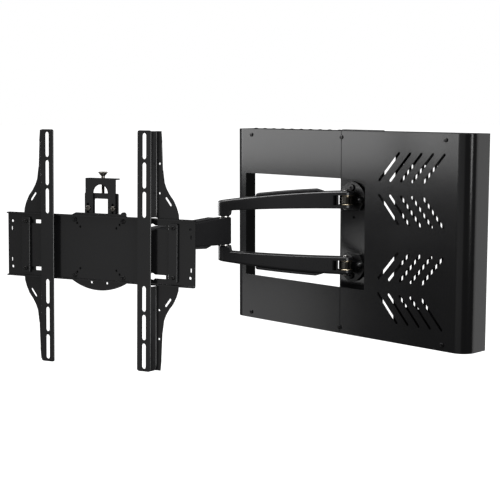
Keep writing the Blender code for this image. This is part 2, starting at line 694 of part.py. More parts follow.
lug_low = FOREARM_HEAD_Z + 2 * GAP
lug_high = lug_low + YOKE_LUG_THICK
spine_back = -FOREARM_HALF - 2 * MM
spine_front = TILT_BARREL_RADIUS - SWIVEL_TO_TILT - 3 * MM
spine = YOKE_LUG_RADIUS - MM, lug_high - MM
yoke = block(
    "swivel_yoke",
    (-spine[0], spine_front, -spine[1]),
    (spine[0], spine_back, spine[1]),
    YOKE,
    BLACK_CASTING,
)
for word, side in (("top", 1), ("bottom", -1)):
    outline = arc((0, 0), YOKE_LUG_RADIUS, 0, 180, 10)
    outline += [(-YOKE_LUG_RADIUS, spine_front + MM), (YOKE_LUG_RADIUS, spine_front + MM)]
    fuse(yoke, sheet(f"yoke_{word}_lug", [outline], side * lug_low, side * lug_high, "top", YOKE))
barrel_ends = (-TILT_BARREL_HALF, -SWIVEL_TO_TILT, 0), (TILT_BARREL_HALF, -SWIVEL_TO_TILT, 0)
fuse(yoke, rod("yoke_barrel", *barrel_ends, TILT_BARREL_RADIUS, YOKE))
tilt_bolt_radius = 4 * MM
bolt_span = (-0.04, -SWIVEL_TO_TILT, 0), (0.04, -SWIVEL_TO_TILT, 0)
cut(
    yoke,
    rod("yoke_tilt_bore", *bolt_span, tilt_bolt_radius + PIN_PLAY, YOKE),
    rod("yoke_swivel_bore", (0, 0, -0.04), (0, 0, 0.04), swivel_pin_radius + PIN_PLAY, YOKE),
)
pin_end = lug_high + GAP
turned(
    "swivel_pin",
    [
        (0, pin_end + 3 * MM),
        (8 * MM, pin_end + 3 * MM),
        (9 * MM, pin_end + 2 * MM),
        (9 * MM, pin_end),
        (swivel_pin_radius, pin_end),
        (swivel_pin_radius, -pin_end),
        (0, -pin_end),
    ],
    (0, 0, 0),
    (0, 0, 1),
    YOKE,
    STEEL,
    SEGMENTS,
)


# ---- Tilt head: upright with ears --------------------------------------------------------------

upright_far = UPRIGHT_NEAR + HEAD_SHEET
ear_near = TILT_BARREL_HALF + 1.2 * MM
bar_low = CROSSBAR_TOP - 9 * MM
upright_loops = [
    rectangle((-UPRIGHT_HALF, -46 * MM), (UPRIGHT_HALF, CROSSBAR_TOP + MM), 2 * MM),
    rectangle((-ARCH_RADIUS + MM, 61 * MM), (ARCH_RADIUS - MM, bar_low), 2 * MM),
    rectangle((-13 * MM, -24 * MM), (13 * MM, 24 * MM), 4 * MM),
]
lock_screw_radius = 2 * MM
for side in (-1, 1):
    upright_loops.append(circle((side * LOCK_SCREW_X, LOCK_SCREW_Z), lock_screw_radius + PIN_PLAY))
upright = sheet("tilt_upright", upright_loops, UPRIGHT_NEAR, upright_far, "front", UPRIGHT, BLACK_SHEET)
crossbar = block(
    "crossbar_tab",
    (-ARCH_RADIUS + MM, UPRIGHT_NEAR, CROSSBAR_TOP - 7 * MM),
    (ARCH_RADIUS - MM, THUMB_SCREW_Y + 6 * MM, CROSSBAR_TOP),
    UPRIGHT,
)
fuse(upright, crossbar)
ear_reach = TILT_TO_PLATE - upright_far + MM
for word, side in (("left", -1), ("right", 1)):
    ear_tip = TILT_TO_PLATE - ear_reach
    ear = [(ear_tip, -22 * MM - LIFT_REST), (ear_tip, 22 * MM - LIFT_REST)]
    ear += arc((TILT_TO_PLATE, -LIFT_REST), 12.5 * MM, 80, -80, 10)
    near, far = sorted((side * ear_near, side * (ear_near + EAR_WALL)))
    fuse(upright, sheet(f"{word}_ear", [list(reversed(ear))], near, far, "side", UPRIGHT))
    washer_ends = sorted((side * (TILT_BARREL_HALF + GAP), side * (ear_near - GAP)))
    ring = [circle((0, 0), 10 * MM, SEGMENTS), circle((0, 0), tilt_bolt_radius + PIN_PLAY, SEGMENTS)]
    sheet(f"{word}_tilt_washer", ring, *washer_ends, "side", TILT, BRONZE)
thumb_shank_radius = 2.9 * MM
cut(
    upright,
    rod(
        "ear_bore",
        (-0.04, TILT_TO_PLATE, -LIFT_REST),
        (0.04, TILT_TO_PLATE, -LIFT_REST),
        tilt_bolt_radius + PIN_PLAY,
        UPRIGHT,
    ),
    rod(
        "crossbar_thread",
        (0, THUMB_SCREW_Y, 0.05),
        (0, THUMB_SCREW_Y, 0.13),
        thumb_shank_radius + PIN_PLAY,
        UPRIGHT,
    ),
)
bolt_head = ear_near + EAR_WALL + GAP
turned(
    "tilt_bolt",
    [
        (0, bolt_head + 4.5 * MM),
        (6.5 * MM, bolt_head + 4.5 * MM),
        (7.5 * MM, bolt_head + 3.5 * MM),
        (7.5 * MM, bolt_head),
        (tilt_bolt_radius, bolt_head),
        (tilt_bolt_radius, -bolt_head - 6 * MM),
        (0, -bolt_head - 6 * MM),
    ],
    (0, 0, 0),
    (1, 0, 0),
    TILT,
    DARK_SCREW,
    SEGMENTS,
)
nut_ends = (-bolt_head, 0, 0), (-bolt_head - 5 * MM, 0, 0)
tilt_nut = rod("tilt_nut", *nut_ends, 7.5 * MM, TILT, DARK_SCREW, 6)
cut(tilt_nut, rod("tilt_nut_bore", (-0.06, 0, 0), (0, 0, 0), tilt_bolt_radius + PIN_PLAY, TILT))
for word, side in (("left", -1), ("right", 1)):
    at = (side * LOCK_SCREW_X, HANGER_NEAR - SCREW_HEAD_GAP, LOCK_SCREW_Z)
    length = upright_far - HANGER_NEAR + 3 * MM
    pan_screw(f"{word}_lock_screw", at, 4.8 * MM, 2.6 * MM, lock_screw_radius, length, UPRIGHT)


# ---- Height carriage: arch hanger and thumb screw ----------------------------------------------

arch_crown = arc((0, CROSSBAR_TOP + MM), ARCH_RADIUS, 0, 180, 12)
arch = [(ARCH_RADIUS, 60 * MM)] + arch_crown + [(-ARCH_RADIUS, 60 * MM)]
hanger_loops = [rectangle((-HANGER_HALF, -40 * MM), (HANGER_HALF, HANGER_TOP), 1.5 * MM), arch]
lift_travel = 6 * MM
roll_rivet_radius = 4.7 * MM
for side in (-1, 1):
    x = side * LOCK_SCREW_X
    reach = lift_travel + MM
    lock_slot_width = 2 * lock_screw_radius + MM
    hanger_loops.append(slot((x, LOCK_SCREW_Z - reach), (x, LOCK_SCREW_Z + reach), lock_slot_width))
hanger_loops.append(circle((0, 0), roll_rivet_radius + PIN_PLAY, SEGMENTS))
hanger = sheet("arch_hanger", hanger_loops, HANGER_NEAR, HANGER_NEAR + HEAD_SHEET, "front", LIFT, BLACK_SHEET)
flange = block(
    "hanger_flange",
    (-HANGER_HALF, HANGER_NEAR, HANGER_TOP - HEAD_SHEET),
    (HANGER_HALF, THUMB_SCREW_Y + 6 * MM, HANGER_TOP),
    LIFT,
)
fuse(hanger, flange)
flange_bore = thumb_shank_radius + PIN_PLAY
cut(hanger, rod("flange_hole", (0, THUMB_SCREW_Y, 0.11), (0, THUMB_SCREW_Y, 0.14), flange_bore, LIFT))
turned(
    "thumb_screw",
    [
        (0, 136 * MM),
        (7.6 * MM, 136 * MM),
        (8.3 * MM, 135.4 * MM),
        (8.3 * MM, 134 * MM),
        (7.0 * MM, 133 * MM),
        (6.2 * MM, 131.5 * MM),
        (4.2 * MM, 129.6 * MM),
        (3.4 * MM, 128.5 * MM),
        (3.4 * MM, HANGER_TOP + GAP),
        (thumb_shank_radius, HANGER_TOP + GAP),
        (thumb_shank_radius, CROSSBAR_TOP - 7.5 * MM),
        (0, CROSSBAR_TOP - 7.5 * MM),
    ],
    (0, THUMB_SCREW_Y, 0),
    (0, 0, 1),
    LIFT,
    DARK_SCREW,
    SEGMENTS,
)
roll_back = HANGER_NEAR + HEAD_SHEET + GAP
turned(
    "roll_rivet",
    [
        (0, -PLATE_SHEET - 2 * GAP),
        (9 * MM, -PLATE_SHEET - 2 * GAP),
        (9 * MM, -ROLL_PLATE_NEAR + GAP),
        (roll_rivet_radius, -ROLL_PLATE_NEAR + GAP),
        (roll_rivet_radius, -roll_back),
        (8 * MM, -roll_back),
        (8 * MM, -roll_back - 3 * MM),
        (0, -roll_back - 3 * MM),
    ],
    (0, 0, 0),
    (0, -1, 0),
    LIFT,
    STEEL,
    SEGMENTS,
)
spacer_near = ROLL_PLATE_NEAR + HEAD_SHEET + GAP
spacer_bore = roll_rivet_radius + PIN_PLAY
washer("roll_spacer", spacer_near, HANGER_NEAR - GAP, 13 * MM, spacer_bore, LIFT, BLACK_TRIM, "y")


# ---- Roll plate and TV plate -------------------------------------------------------------------

arc_centre = ROLL_PLATE_ARC - ROLL_PLATE_BOTTOM
arc_half = math.degrees(math.asin(ROLL_PLATE_HALF / ROLL_PLATE_ARC))
chamfer = 8 * MM
shape = arc((0, arc_centre), ROLL_PLATE_ARC, -90 - arc_half, -90 + arc_half, 16)
shape += [
    (ROLL_PLATE_HALF, ROLL_PLATE_TOP - chamfer / 2),
    (ROLL_PLATE_HALF - chamfer, ROLL_PLATE_TOP),
    (-ROLL_PLATE_HALF + chamfer, ROLL_PLATE_TOP),
    (-ROLL_PLATE_HALF, ROLL_PLATE_TOP - chamfer / 2),
]
vesa = VESA_PLATE / 2
vesa_screw_radius = 2 * MM
corners = [(x * vesa, z * vesa) for x in (-1, 1) for z in (-1, 1)]
roll_loops = [shape, circle((0, 0), roll_rivet_radius + PIN_PLAY, SEGMENTS)]
roll_loops += [circle(at, vesa_screw_radius + PIN_PLAY) for at in corners]
roll_loops += [circle((x, -61.6 * MM), 2.3 * MM) for x in (-16 * MM, 16 * MM)]
roll_far = ROLL_PLATE_NEAR + HEAD_SHEET
roll_plate = sheet("roll_plate", roll_loops, ROLL_PLATE_NEAR, roll_far, "front", ROLL, BLACK_SHEET)
stop_at = [(49 * MM, y, ROLL_PLATE_TOP - MM) for y in (ROLL_PLATE_NEAR + FOLD_INSET, roll_far + 3 * MM)]
fuse(roll_plate, rod("roll_stop", *stop_at, 4.5 * MM, ROLL))

plate_holes = [circle(at, vesa_screw_radius + PIN_PLAY) for at in corners]
for near in (37.5 * MM, 44 * MM):
    plate_holes += [circle((x * near, z * near), 2.2 * MM) for x in (-1, 1) for z in (-1, 1)]
keyhole_round = 6 * MM
end_inset = 9.5 * MM
for x in (-1, 1):
    for z in (-1, 1):
        half_slot = KEYHOLE_HEIGHT / 2
        bite = math.degrees(math.asin(half_slot / keyhole_round))
        key = arc((KEYHOLE_INNER, z * KEYHOLE_Z), keyhole_round, bite, 360 - bite, 12)
        key += arc((KEYHOLE_OUTER - half_slot, z * KEYHOLE_Z), half_slot, -90, 90, 5)
        plate_holes.append(key if x > 0 else mirrored(key))
        end_x = x * (PLATE_WIDTH / 2 - end_inset)
        plate_holes.append(circle((end_x, z * 42 * MM), 2.6 * MM))
        edge_x = end_x + x * 1.5 * MM
        plate_holes.append(slot((edge_x, z * 26 * MM), (edge_x, z * 31 * MM), 3 * MM, 3))
blank = rectangle((-PLATE_WIDTH / 2, -PLATE_HEIGHT / 2), (PLATE_WIDTH / 2, PLATE_HEIGHT / 2), 2.5 * MM)
plate = sheet("tv_plate", [blank], 0, PLATE_SHEET, "front", ROLL, BLACK_SHEET)
lip_half = PLATE_WIDTH / 2 - FOLD_INSET
for word, side in (("top", 1), ("bottom", -1)):
    lip_out = PLATE_HEIGHT / 2 - FOLD_INSET
    z0, z1 = sorted((side * lip_out, side * (lip_out - PLATE_SHEET)))
    fuse(plate, block(f"plate_{word}_lip", (-lip_half, -PLATE_LIP, z0), (lip_half, MM, z1), ROLL))
cut(plate, sheet("plate_hole_tool", plate_holes, -MM, PLATE_SHEET + 0.5 * MM, "front", ROLL))
for i, (x, z) in enumerate(corners):
    head_at = (x, -SCREW_HEAD_GAP, z)
    pan_screw(f"plate_screw_{i + 1}", head_at, 4.2 * MM, 1.8 * MM, vesa_screw_radius, 12 * MM, ROLL)


# ---- TV brackets with their clamps -------------------------------------------------------------


def tv_bracket(word, side):
    """A pressed upright: slotted face in front of the plate, web, and ears behind the plate."""
    face_near = BRACKET_SLOT_X - BRACKET_FACE / 2
    face_far = BRACKET_SLOT_X + BRACKET_FACE / 2
    top = BRACKET_HEIGHT / 2
    face = [rectangle((face_near, -top), (face_far, top), 4 * MM)]
    for z in (-1, 1):
        for i in range(3):
            middle = z * (TV_SLOT_FIRST + i * TV_SLOT_PITCH)
            reach = (TV_SLOT_LENGTH - TV_SLOT_WIDTH) / 2
            face.append(
                slot((BRACKET_SLOT_X, middle - reach), (BRACKET_SLOT_X, middle + reach), TV_SLOT_WIDTH, 5)
            )
    notch = PLATE_HEIGHT / 2 + 1.6 * MM
    web_in = face_far - BRACKET_SHEET
    ear_in = web_in + WEB_SPLAY
    flange_top = top - MM
    profile = [(15.2, 190), (17.2, 142), (20.2, 120), (24.2, 110), (30.2, 100)]
    profile += [(38.2, 90), (44.2, 78), (48.2, 66), (49.2, 50)]
    upper = [(web_in + 13.5 * MM, flange_top)] + [(web_in + x * MM, z * MM) for x, z in profile]
    ear_inner = CLAMP_X - CLAMP_WIDTH
    rear = [(ear_in, flange_top)] + [(ear_in, notch), (ear_inner, notch - 6 * MM)]
    rear += [(ear_inner, 6 * MM - notch), (ear_in, -notch), (ear_in, -flange_top)]
    rear += [(x, -z) for x, z in upper] + list(reversed(upper))
    rear_loops = [rear]
    for z in (-1, 1):
        rear_loops += [circle((web_in + 11 * MM, z * d * MM), 2 * MM) for d in (102, 153)]
        rear_loops.append(slot((web_in + 24 * MM, z * 94 * MM), (web_in + 33 * MM, z * 82 * MM), 4 * MM, 3))
        rear_loops.append(circle((CLAMP_X, z * KEYHOLE_Z), clamp_screw_radius + PIN_PLAY))
    web = [(web_in, MM - BRACKET_PROUD), (face_far, MM - BRACKET_PROUD)]
    web += [(face_far + WEB_SPLAY, BRACKET_BACK - MM / 2), (ear_in, BRACKET_BACK - MM / 2)]
    webs = [web]
    if side < 0:
        face, rear_loops, webs = ([mirrored(loop) for loop in group] for group in (face, rear_loops, webs))
    face_back = BRACKET_SHEET - BRACKET_PROUD
    made = sheet(f"{word}_bracket", face, -BRACKET_PROUD, face_back, "front", ROLL, BLACK_SHEET)
    ear_near = BRACKET_BACK - BRACKET_SHEET
    fuse(made, sheet(f"{word}_ear_blank", rear_loops, ear_near, BRACKET_BACK, "front", ROLL))
    for end, z in (("top", 1), ("bottom", -1)):
        z0, z1 = sorted((z * notch, z * (flange_top - FOLD_INSET)))
        fuse(made, sheet(f"{word}_{end}_web", webs, z0, z1, "top", ROLL))
    return made


clamp_screw_radius = 2.3 * MM
for word, side in (("left", -1), ("right", 1)):
    tv_bracket(word, side)
    x0, x1 = sorted((side * (CLAMP_X - CLAMP_WIDTH / 2), side * (CLAMP_X + CLAMP_WIDTH / 2)))
    bar = [rectangle((x0, -CLAMP_HEIGHT / 2), (x1, CLAMP_HEIGHT / 2), 2 * MM)]
    bar += [circle((side * CLAMP_X, z * KEYHOLE_Z), clamp_screw_radius + PIN_PLAY) for z in (-1, 1)]
    sheet(f"{word}_clamp_bar", bar, -GAP - CLAMP_THICK, -GAP, "front", ROLL, BLACK_SHEET)
    for place, z in (("top", 1), ("bottom", -1)):
        at = (side * CLAMP_X, -2 * GAP - CLAMP_THICK, z * KEYHOLE_Z)
        shank = BRACKET_BACK + CLAMP_THICK + 2 * MM
        pan_screw(f"{word}_{place}_clamp_screw", at, 4.6 * MM, 2.4 * MM, clamp_screw_radius, shank, ROLL)
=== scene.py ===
"""A full motion TV wall mount, put together from the wall outwards on its fixed CAD frame.

Metres, +Z up, -Y out of the wall. Sections follow the mount as it is assembled: wall plate and
column, rails and bay panel, box covers, wall knuckles, arms, forearm, yoke, tilt head, height
carriage, TV plate, TV brackets.
"""

import json
import math

import bmesh
import bpy
import numpy as np
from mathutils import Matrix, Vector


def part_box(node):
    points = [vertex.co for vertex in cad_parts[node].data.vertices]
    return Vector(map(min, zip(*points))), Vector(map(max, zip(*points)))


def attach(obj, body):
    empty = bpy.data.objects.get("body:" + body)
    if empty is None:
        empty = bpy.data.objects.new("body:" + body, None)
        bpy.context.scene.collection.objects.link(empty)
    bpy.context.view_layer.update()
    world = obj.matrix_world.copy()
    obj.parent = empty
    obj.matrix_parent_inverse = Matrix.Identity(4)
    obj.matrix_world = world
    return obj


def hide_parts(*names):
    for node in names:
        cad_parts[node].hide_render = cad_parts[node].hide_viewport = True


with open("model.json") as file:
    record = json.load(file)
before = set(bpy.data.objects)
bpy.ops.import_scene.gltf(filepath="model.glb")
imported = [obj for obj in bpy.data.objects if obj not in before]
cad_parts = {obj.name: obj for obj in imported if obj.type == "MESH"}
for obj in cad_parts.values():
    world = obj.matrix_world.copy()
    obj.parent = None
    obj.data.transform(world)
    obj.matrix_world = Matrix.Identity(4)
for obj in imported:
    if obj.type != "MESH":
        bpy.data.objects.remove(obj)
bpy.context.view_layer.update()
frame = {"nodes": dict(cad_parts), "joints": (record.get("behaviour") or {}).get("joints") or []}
MM = 0.001


# ---- Studio ------------------------------------------------------------------------------------
# A pale floor well below the mount, a softbox near the box front that its upper half mirrors, a
# soft top light for the rounded upper edges, and fills. Most lamps reach only a group of pieces.


def flat_panel(name, reach, height):
    """A level square: z is constant over x and y."""
    x, y = np.meshgrid([-reach, reach], [-reach, reach])
    points = np.stack([x, y, np.full_like(x, height)], -1).reshape(-1, 3)
    mesh = bpy.data.meshes.new(name)
    mesh.from_pydata(points.tolist(), [], [(0, 1, 3, 2)])
    made = bpy.data.objects.new(name, mesh)
    bpy.context.scene.collection.objects.link(made)
    return made


floor = flat_panel("floor", 60.0, -1.25)
floor.visible_glossy = False
floor.visible_diffuse = False
floor_paint = bpy.data.materials.new("pale floor")
floor_paint.use_nodes = True
floor_inputs = floor_paint.node_tree.nodes["Principled BSDF"].inputs
floor_inputs["Base Color"].default_value = (0.9, 0.9, 0.9, 1)
floor_inputs["Roughness"].default_value = 0.9
floor.data.materials.append(floor_paint)


def soft_light(name, place, aim, size, power):
    """A rectangular area light at a place, turned to face a point."""
    lamp = bpy.data.lights.new(name, "AREA")
    lamp.shape = "RECTANGLE"
    lamp.size, lamp.size_y = size
    lamp.energy = power
    made = bpy.data.objects.new(name, lamp)
    made.location = place
    away = made.location - type(made.location)(aim)
    made.rotation_euler = away.to_track_quat("Z", "Y").to_euler()
    bpy.context.scene.collection.objects.link(made)
    return made


on_the_box = [
    soft_light("near left softbox", (-0.72, -0.84, 0.355), (-0.10, -0.06, 0.355), (1.3, 0.58), 8.6),
    soft_light("low left softbox", (-1.35, -1.05, -0.45), (-0.3, 0.0, -0.2), (0.7, 0.3), 0.75),
    soft_light("right fill", (2.0, 1.9, 0.1), (0.3, 0.0, 0.0), (1.6, 2.4), 12),
    soft_light("right strip", (2.15, -0.38, 0.45), (0.3, -0.05, 0.3), (0.3, 1.0), 6),
]
soft_light("left softbox", (-2.3, -2.35, 1.75), (-0.1, -0.1, 0.5), (2.6, 2.1), 40)
soft_light("top softbox", (-0.1, -0.7, 2.4), (-0.1, -0.3, 0.0), (2.4, 1.6), 90)
soft_light("front fill", (0.6, -4.6, 0.2), (-0.1, -0.3, 0.0), (4.0, 3.0), 9.5)
on_the_arms = [
    soft_light("arms right softbox", (2.3, -0.5, 0.15), (-0.1, -0.4, 0.0), (2.4, 1.6), 55),
    soft_light("arms left softbox", (-2.4, -0.75, 0.2), (-0.1, -0.5, 0.0), (1.6, 1.6), 50),
    soft_light("head fill", (-0.46, -2.0, -0.1), (-0.15, -0.55, 0.0), (1.0, 1.2), 0.55),
]
column_glow = soft_light("column glow", (-0.63, -0.80, -0.19), (0.0, -0.03, -0.03), (0.5, 0.13), 0.33)
box_front = bpy.data.collections.new("lit as the wall unit")
box_side = bpy.data.collections.new("lit as the box side")
column_only = bpy.data.collections.new("lit as the column")
moving = bpy.data.collections.new("lit as the arms and head")
linked = {
    box_front: on_the_box[:2],
    box_side: on_the_box[2:],
    column_only: [column_glow],
    moving: on_the_arms,
}
for lit, lamps in linked.items():
    for lamp in lamps:
        lamp.light_linking.receiver_collection = lit
wash = bpy.data.lights.new("floor wash", "SUN")
wash.energy = 4.2
wash.angle = 0.5
floor_wash = bpy.data.objects.new("floor wash", wash)
bpy.context.scene.collection.objects.link(floor_wash)
only_floor = bpy.data.collections.new("lit by the floor wash")
only_floor.objects.link(floor)
floor_wash.light_linking.receiver_collection = only_floor

world = bpy.data.worlds.new("studio")
world.use_nodes = True
bpy.context.scene.world = world
sky = world.node_tree
seen = sky.nodes.new("ShaderNodeLightPath")
backdrop = sky.nodes["Background"]
dim = sky.nodes.new("ShaderNodeBackground")
for shade, strength in ((backdrop, 1.0), (dim, 0.07)):
    shade.inputs["Color"].default_value = (1, 1, 1, 1)
    shade.inputs["Strength"].default_value = strength
both = sky.nodes.new("ShaderNodeMixShader")
sky.links.new(seen.outputs["Is Camera Ray"], both.inputs["Fac"])
sky.links.new(dim.outputs["Background"], both.inputs[1])
sky.links.new(backdrop.outputs["Background"], both.inputs[2])
sky.links.new(both.outputs["Shader"], sky.nodes["World Output"].inputs["Surface"])
bpy.context.scene.view_settings.view_transform = "Standard"

lens = bpy.data.cameras.new("camera")
lens.lens = 86.52
lens.sensor_width = 36
lens.clip_start = 0.05
camera = bpy.data.objects.new("camera", lens)
camera.location = (1.54245, -1.8488, 0.2580)
camera.rotation_euler = (math.radians(82.93), 0, math.radians(45.20))
bpy.context.scene.collection.objects.link(camera)
bpy.context.scene.camera = camera


# ---- Wall plate and column ---------------------------------------------------------------------
# A laser-cut steel plate lies on the wall with a folded steel channel welded down its middle.
# Both are powder coated black, with a fine orange-peel skin.


class Wire:
    """A shader output that Python's operators work on: each one adds the Math node for it."""

    def __init__(self, tree, socket):
        self.tree = tree
        self.socket = socket

    def math(self, operation, *values):
        sum_node = self.tree.nodes.new("ShaderNodeMath")
        sum_node.operation = operation
        for value, entry in zip(values, sum_node.inputs):
            if isinstance(value, Wire):
                self.tree.links.new(value.socket, entry)
            else:
                entry.default_value = value
        return Wire(self.tree, sum_node.outputs[0])

    def __add__(self, other):
        return self.math("ADD", self, other)

    def __radd__(self, other):
        return self.math("ADD", other, self)

    def __sub__(self, other):
        return self.math("SUBTRACT", self, other)

    def __rsub__(self, other):
        return self.math("SUBTRACT", other, self)

    def __mul__(self, other):
        return self.math("MULTIPLY", self, other)

    def __rmul__(self, other):
        return self.math("MULTIPLY", other, self)

    def between(self, low, high):
        """0 below low, 1 above high, and smooth between them."""
        ramp = self.tree.nodes.new("ShaderNodeMapRange")
        ramp.interpolation_type = "SMOOTHSTEP"
        ramp.inputs["From Min"].default_value = low
        ramp.inputs["From Max"].default_value = high
        self.tree.links.new(self.socket, ramp.inputs["Value"])
        return Wire(self.tree, ramp.outputs["Result"])


class Finish:
    """A Principled material with one method for every node it needs."""

    def __init__(self, name, **constants):
        self.material = bpy.data.materials.new(name)
        self.material.use_nodes = True
        self.tree = self.material.node_tree
        self.shader = self.tree.nodes["Principled BSDF"]
        for socket, value in constants.items():
            self.shader.inputs[socket.replace("_", " ")].default_value = value

    def node(self, kind, settings=(), values=(), out=0):
        made = self.tree.nodes.new("ShaderNode" + kind)
        for key, value in dict(settings).items():
            setattr(made, key, value)
        for key, value in dict(values).items():
            if isinstance(value, Wire):
                self.tree.links.new(value.socket, made.inputs[key])
            else:
                made.inputs[key].default_value = value
        return Wire(self.tree, made.outputs[out])

    def place(self):
        return self.node("TexCoord", out="Object")

    def noise(self, scale, detail=3.0, rough=0.5):
        return self.node(
            "TexNoise",
            values={"Vector": self.place(), "Scale": scale, "Detail": detail, "Roughness": rough},
        )

    def blend(self, share, first, second):
        """One colour turning into another as share goes from 0 to 1."""
        return self.node(
            "Mix",
            settings={"data_type": "RGBA"},
            values={"Factor": share, 6: (*first, 1), 7: (*second, 1)},
            out=2,
        )

    def bump(self, height, strength, distance):
        return self.node("Bump", values={"Height": height, "Strength": strength, "Distance": distance})

    def drive(self, socket, wire):
        self.tree.links.new(wire.socket, self.shader.inputs[socket])
        return self


def coated_steel():
    """Black powder coat: orange peel under a millimetre across and a soft cloudy sheen."""
    coat = Finish("black powder coat", Specular_IOR_Level=0.5)
    peel = coat.noise(1500, 2.0)
    cloud = coat.noise(9, 4.0, 0.6)
    coat.drive("Base Color", coat.blend(cloud, (0.0065, 0.0065, 0.0070), (0.011, 0.011, 0.0115)))
    coat.drive("Roughness", 0.15 + cloud * 0.05 + peel * 0.04)
    coat.drive("Normal", coat.bump(peel, 0.22, 0.00008))
    return coat.material


COATED = coated_steel()


def softened(node, width, sharpest=38, steps=2, bend=0.0, cut=0.0):
    """A copy of a CAD solid with its triangles merged into faces and every edge that turns by more
    than an angle rounded over a width, as paint and deburring leave it. The folds between broad
    faces and the long cut edges are rounded first, each over a width of their own."""
    work = bmesh.new()
    work.from_mesh(frame["nodes"][node].data)
    bmesh.ops.remove_doubles(work, verts=work.verts, dist=1.5e-5)
    bmesh.ops.dissolve_limit(work, angle_limit=math.radians(0.8), verts=work.verts, edges=work.edges)
    turn = math.radians(sharpest)
    shortest_fold, broad, shortest_cut = 12 * MM, 4 * MM, 40 * MM

    def reach(edge, face):
        """How far a face runs out from one of its edges."""
        start, end = (vertex.co for vertex in edge.verts)
        along = (end - start).normalized()
        return max((v.co - start - along * (v.co - start).dot(along)).length for v in face.verts)

    def is_fold(edge):
        widths = [reach(edge, f) for f in edge.link_faces]
        return edge.calc_length() > shortest_fold and min(widths) > broad

    def is_long(edge):
        return edge.calc_length() > shortest_cut

    for chosen, offset in ((is_fold, bend), (is_long, cut), (bool, width)):
        edges = [e for e in work.edges if e.is_manifold and e.calc_face_angle() > turn and chosen(e)]
        if offset > 0 and edges:
            bmesh.ops.bevel(
                work,
                geom=edges,
                offset=offset,
                segments=steps,
                profile=0.5,
                affect="EDGES",
                clamp_overlap=True,
            )
    return work


def shown(name, work, body, finish, replaced=(), smooth=50):
    """Puts a finished mesh in the scene with its material, body, and the CAD solids it stands for."""
    mesh = bpy.data.meshes.new(name)
    work.to_mesh(mesh)
    work.free()
    mesh.materials.clear()
    mesh.materials.append(finish)
    mesh.shade_smooth()
    mesh.set_sharp_from_angle(angle=math.radians(smooth))
    made = bpy.data.objects.new(name, mesh)
    bpy.context.scene.collection.objects.link(made)
    weigh = made.modifiers.new("even shading", "WEIGHTED_NORMAL")
    weigh.keep_sharp = True
    weigh.weight = 60
    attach(made, body)
    (box_front if body == "wall_unit" else moving).objects.link(made)
    if replaced:
        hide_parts(*replaced)
    return made


def coated_sheet(node, ending, body, width, smooth=50, **rounding):
    """A powder-coated sheet piece, softened from its CAD solid."""
    work = softened(node, width, **rounding)
    return shown(node + ending, work, body, COATED, [node], smooth)


coated_sheet("wall_plate", "_cut", "wall_unit", 0.4 * MM)
column_only.objects.link(coated_sheet("wall_column", "_folded", "wall_unit", 0.8 * MM))


# ---- Rails and equipment bay panel -------------------------------------------------------------
# Folded steel rails run along the top and bottom to carry the covers. The slotted panel at the
# right stands off the wall so that straps can pass behind it.

for node in ("top_rail", "bottom_rail"):
    coated_sheet(node, "_folded", "wall_unit", 0.5 * MM)
panel = softened("bay_back_panel", 0.3 * MM)
shown("bay_panel_slotted", panel, "wall_unit", COATED, ["bay_back_panel"])


# ---- Box covers --------------------------------------------------------------------------------
# Two pressed steel half covers hide the structure, with a window for the arms in the left one
# and chevron vents in the right one. Small raised louvres stand along the left one's top.

PRESSED_EDGE = 0.45 * MM
coated_sheet("left_cover", "_pressed", "wall_unit", PRESSED_EDGE)
box_side.objects.link(coated_sheet("right_cover", "_pressed", "wall_unit", PRESSED_EDGE))


def grid_faces(rows, columns):
    """Quads of a grid of points whose columns go round: each joins a point to the next one along
    its row and column."""
    r, c = np.meshgrid(np.arange(rows - 1), np.arange(columns), indexing="ij")
    after = (c + 1) % columns
    near, far = r * columns, (r + 1) * columns
    return np.stack([near + c, near + after, far + after, far + c], -1).reshape(-1, 4)


def surface(points):
    """A bmesh skin over an array of points by row and column, its seams and poles closed."""
    rows, columns = points.shape[:2]
    mesh = bpy.data.meshes.new("skin")
    mesh.from_pydata(points.reshape(-1, 3).tolist(), [], grid_faces(rows, columns).tolist())
    work = bmesh.new()
    work.from_mesh(mesh)
    bpy.data.meshes.remove(mesh)
    bmesh.ops.remove_doubles(work, verts=work.verts, dist=2e-6)
    bmesh.ops.dissolve_degenerate(work, dist=1e-6, edges=work.edges)
    holes = [e for e in work.edges if e.is_boundary]
    if holes:
        bmesh.ops.holes_fill(work, edges=holes, sides=0)
    bmesh.ops.recalc_face_normals(work, faces=work.faces)
    return work


def joined(work, *others):
    """The first mesh with the faces of the others added to it."""
    for other in others:
        part = bpy.data.meshes.new("part")
        other.to_mesh(part)
        other.free()
        work.from_mesh(part)
        bpy.data.meshes.remove(part)
    return work


cover_low, cover_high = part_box("left_cover")
LOUVRES = 10
LOUVRE_PITCH = 26 * MM


def louvre_hood(x):
    """A raised half lens over one slot: height falls as the square of the distance from its
    middle."""
    round_it, out = np.meshgrid(np.linspace(0, 2 * np.pi, 25)[:-1], np.linspace(0, 1, 7))
    wide, long = 3.1 * MM, 9.2 * MM
    y = (cover_low.y + cover_high.y) / 2 + 4 * MM + long * out * np.sin(round_it)
    height = cover_high.z - 0.2 * MM + 1.9 * MM * (1 - out**2)
    return np.stack([x + wide * out * np.cos(round_it), y, height], -1)


hoods = [surface(louvre_hood(-36 * MM - LOUVRE_PITCH * i)) for i in range(LOUVRES)]
louvres = joined(bmesh.new(), *hoods)
shown("top_louvres", louvres, "wall_unit", COATED)


